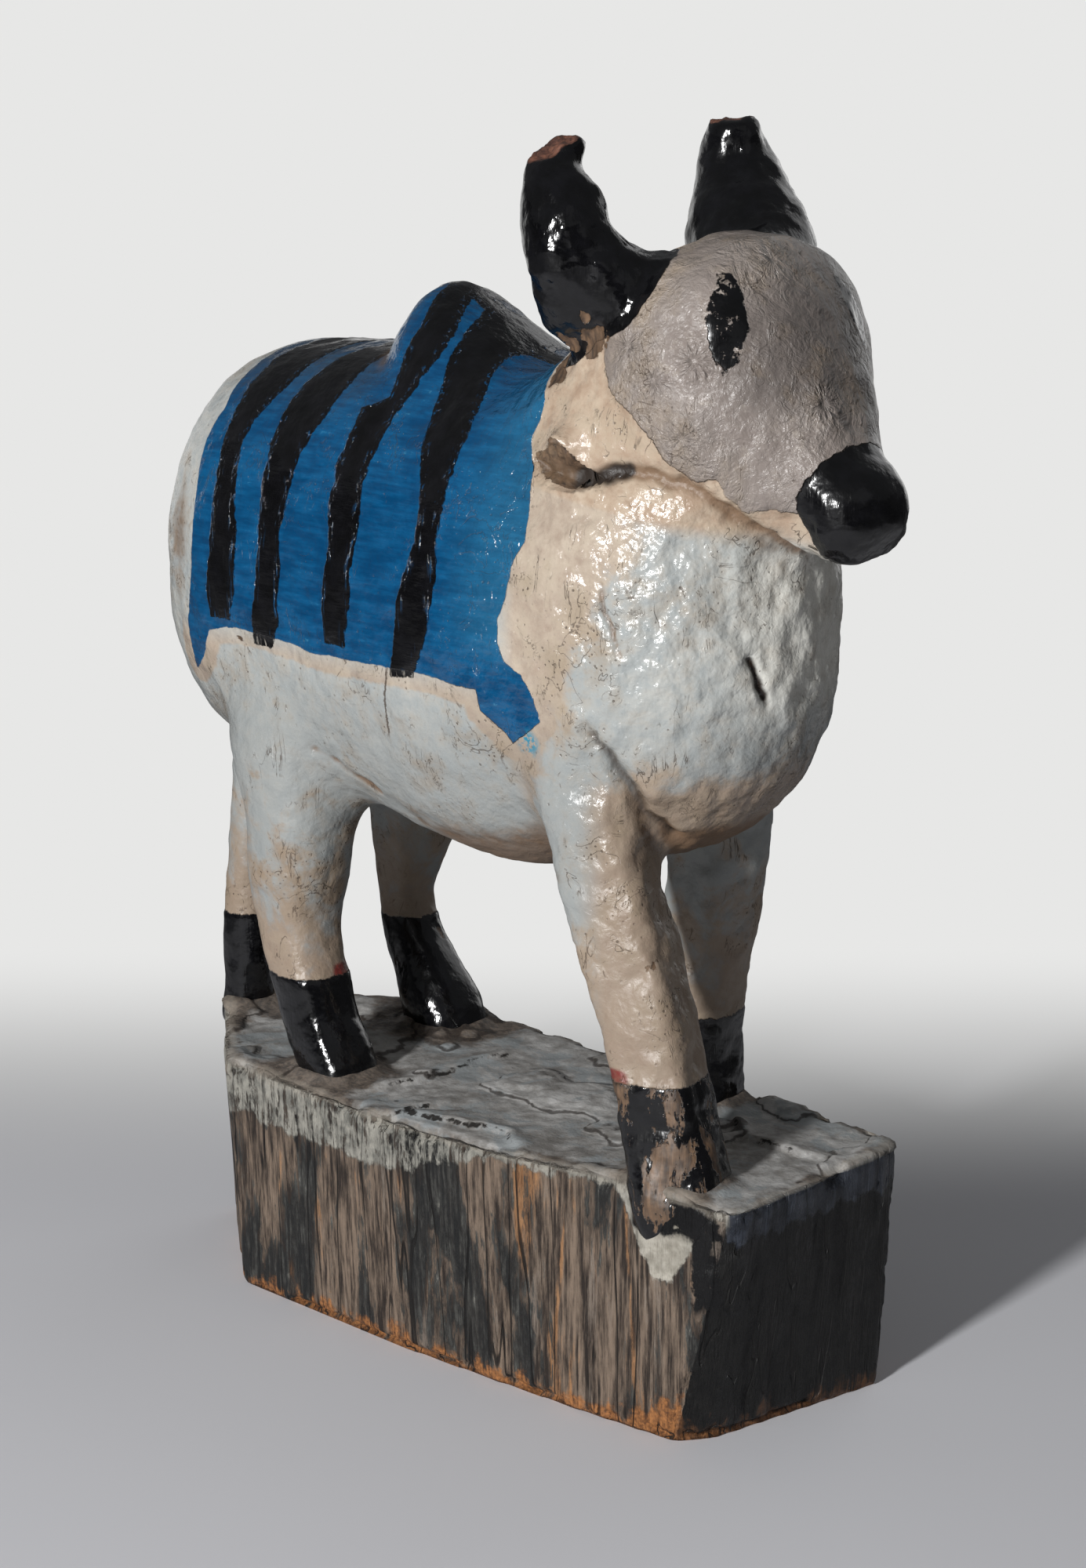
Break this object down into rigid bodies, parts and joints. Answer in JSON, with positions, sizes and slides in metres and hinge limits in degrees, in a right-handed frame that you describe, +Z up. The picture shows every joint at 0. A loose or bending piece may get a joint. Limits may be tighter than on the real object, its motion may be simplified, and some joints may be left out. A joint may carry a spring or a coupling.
{
  "type": "nandi bull figurine",
  "caption": "Humped bull in a walking stance, carved in painted wood and pegged to a tall timber block, with upright horns, a broken ear, a hanging tail and a painted striped blanket.",
  "frame": {"origin": "centre of the object's box at the underside of the block", "axes": "+X towards the bull's muzzle, +Y towards the bull's left flank, +Z up"},
  "size_m": [0.2579, 0.098, 0.3419],
  "materials": {
    "white_paint": "satin, thick brushed paint",
    "taupe_paint": "wrinkled satin paint",
    "blue_paint": "glossy brushed paint",
    "black_paint": "gloss paint",
    "weathered_wood": "weathered, worn paint",
    "bare_wood": "raw"
  },
  "bodies": {
    "root": {"plinth": "weathered_wood", "trunk": "white_paint", "hump": "blue_paint", "head": "taupe_paint", "horn_right": "black_paint", "horn_left": "black_paint", "ear_right": "taupe_paint", "ear_left": "taupe_paint", "foreleg_right": "white_paint", "foreleg_left": "white_paint", "hindleg_right": "white_paint", "hindleg_left": "white_paint", "tail": "white_paint", "head_dowel": "bare_wood", "hump_dowel": "bare_wood"}
  },
  "joints": []
}
